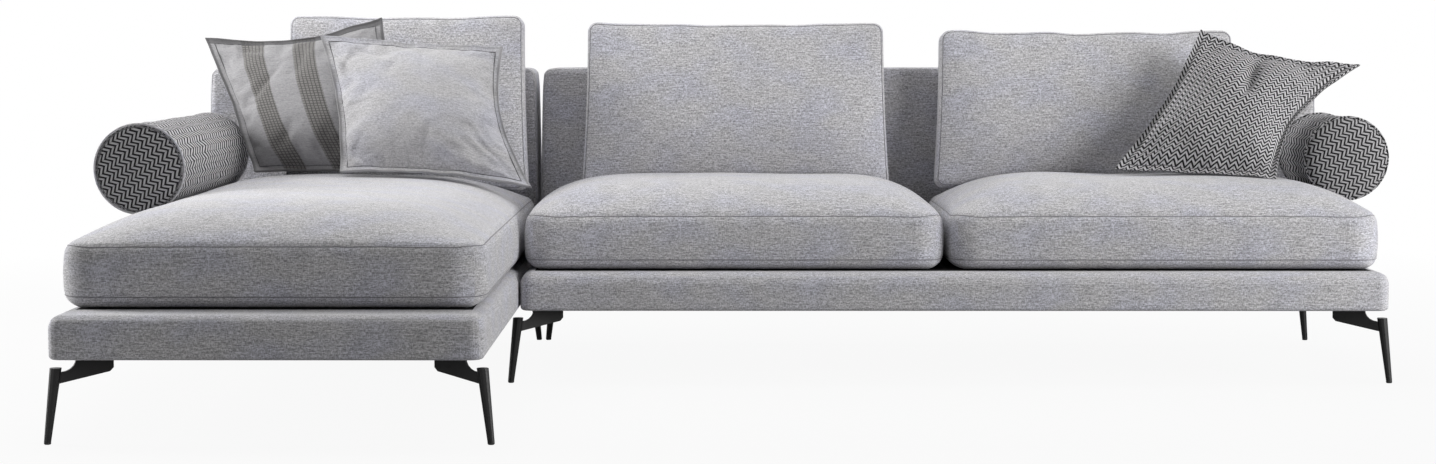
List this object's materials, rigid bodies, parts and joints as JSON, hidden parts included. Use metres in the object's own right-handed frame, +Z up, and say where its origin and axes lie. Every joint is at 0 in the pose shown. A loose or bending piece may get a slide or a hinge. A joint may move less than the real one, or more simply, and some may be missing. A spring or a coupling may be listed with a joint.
{
  "type": "sectional sofa with chaise",
  "caption": "Low L-shaped sofa: chaise and two-seat modules on splayed steel legs, loose cushions, roll bolster arms and throw pillows.",
  "frame": {"origin": "on the floor, in the middle of the sofa's bounding box", "axes": "+X to the right as seen from the front, along the sofa's length; +Y to the back; +Z up"},
  "size_m": [3.163, 1.836, 0.9],
  "materials": {
    "grey_fabric": "woven, matt",
    "pale_fabric": "woven, matt",
    "striped_fabric": "woven stripes, matt",
    "herringbone_fabric": "herringbone weave, matt",
    "black_steel": "satin black",
    "black_plastic": "matt",
    "timber": "raw",
    "webbing": "elastic webbing",
    "dust_cloth": "non-woven"
  },
  "bodies": {
    "chaise_module": {"chaise_front_band": "grey_fabric", "chaise_rear_band": "grey_fabric", "chaise_left_band": "grey_fabric", "chaise_right_band": "grey_fabric", "chaise_front_rail": "timber", "chaise_rear_rail": "timber", "chaise_left_rail": "timber", "chaise_right_rail": "timber", "chaise_cross_rail": "timber", "chaise_webbing": "webbing", "chaise_dust_cover": "dust_cloth", "chaise_deck": "grey_fabric", "chaise_back_board": "timber", "chaise_back_pad": "grey_fabric", "chaise_front_left_leg": "black_steel", "chaise_front_left_glide": "black_plastic", "chaise_front_right_leg": "black_steel", "chaise_front_right_glide": "black_plastic", "chaise_rear_left_leg": "black_steel", "chaise_rear_left_glide": "black_plastic", "chaise_rear_right_leg": "black_steel", "chaise_rear_right_glide": "black_plastic", "left_bolster_bracket_front": "black_steel", "left_bolster_bracket_rear": "black_steel"},
    "settee_module": {"settee_front_band": "grey_fabric", "settee_rear_band": "grey_fabric", "settee_left_band": "grey_fabric", "settee_right_band": "grey_fabric", "settee_front_rail": "timber", "settee_rear_rail": "timber", "settee_left_rail": "timber", "settee_right_rail": "timber", "settee_cross_rail": "timber", "settee_webbing": "webbing", "settee_dust_cover": "dust_cloth", "settee_deck": "grey_fabric", "settee_back_board": "timber", "settee_back_pad": "grey_fabric", "settee_front_left_leg": "black_steel", "settee_front_left_glide": "black_plastic", "settee_front_right_leg": "black_steel", "settee_front_right_glide": "black_plastic", "settee_rear_left_leg": "black_steel", "settee_rear_left_glide": "black_plastic", "settee_rear_right_leg": "black_steel", "settee_rear_right_glide": "black_plastic", "joining_plate": "black_steel", "right_bolster_bracket": "black_steel"},
    "chaise_seat": {"chaise_seat_cushion": "grey_fabric"},
    "middle_seat": {"middle_seat_cushion": "grey_fabric"},
    "right_seat": {"right_seat_cushion": "grey_fabric"},
    "chaise_back": {"chaise_back_cushion": "grey_fabric"},
    "middle_back": {"middle_back_cushion": "grey_fabric"},
    "right_back": {"right_back_cushion": "grey_fabric"},
    "striped_throw": {"striped_pillow": "striped_fabric"},
    "pale_throw": {"pale_pillow": "pale_fabric"},
    "herringbone_throw": {"herringbone_pillow": "herringbone_fabric"},
    "left_roll": {"left_bolster": "herringbone_fabric"},
    "right_roll": {"right_bolster": "herringbone_fabric"}
  },
  "joints": [
    {"name": "module_link", "type": "slide", "parent": "chaise_module", "child": "settee_module", "axis": [1, 0, 0], "range_m": [0, 0.3]},
    {"name": "chaise_seat_slide", "type": "slide", "parent": "chaise_module", "child": "chaise_seat", "axis": [0, -1, 0], "range_m": [0, 0.2]},
    {"name": "middle_seat_slide", "type": "slide", "parent": "settee_module", "child": "middle_seat", "axis": [0, -1, 0], "range_m": [0, 0.2]},
    {"name": "right_seat_slide", "type": "slide", "parent": "settee_module", "child": "right_seat", "axis": [0, -1, 0], "range_m": [0, 0.2]},
    {"name": "chaise_back_lift", "type": "slide", "parent": "chaise_seat", "child": "chaise_back", "axis": [0, 0, 1], "range_m": [0, 0.35]},
    {"name": "middle_back_lift", "type": "slide", "parent": "middle_seat", "child": "middle_back", "axis": [0, 0, 1], "range_m": [0, 0.35]},
    {"name": "right_back_lift", "type": "slide", "parent": "right_seat", "child": "right_back", "axis": [0, 0, 1], "range_m": [0, 0.35]},
    {"name": "striped_lift", "type": "slide", "parent": "chaise_back", "child": "striped_throw", "axis": [0, 0, 1], "range_m": [0, 0.35]},
    {"name": "pale_lift", "type": "slide", "parent": "striped_throw", "child": "pale_throw", "axis": [0, 0, 1], "range_m": [0, 0.35]},
    {"name": "herringbone_lift", "type": "slide", "parent": "right_back", "child": "herringbone_throw", "axis": [0, 0, 1], "range_m": [0, 0.35]},
    {"name": "left_bolster_lift", "type": "slide", "parent": "chaise_module", "child": "left_roll", "axis": [-0.9, 0, 0.4359], "range_m": [0, 0.25]},
    {"name": "right_bolster_lift", "type": "slide", "parent": "settee_module", "child": "right_roll", "axis": [0.9, 0, 0.4359], "range_m": [0, 0.25]}
  ]
}
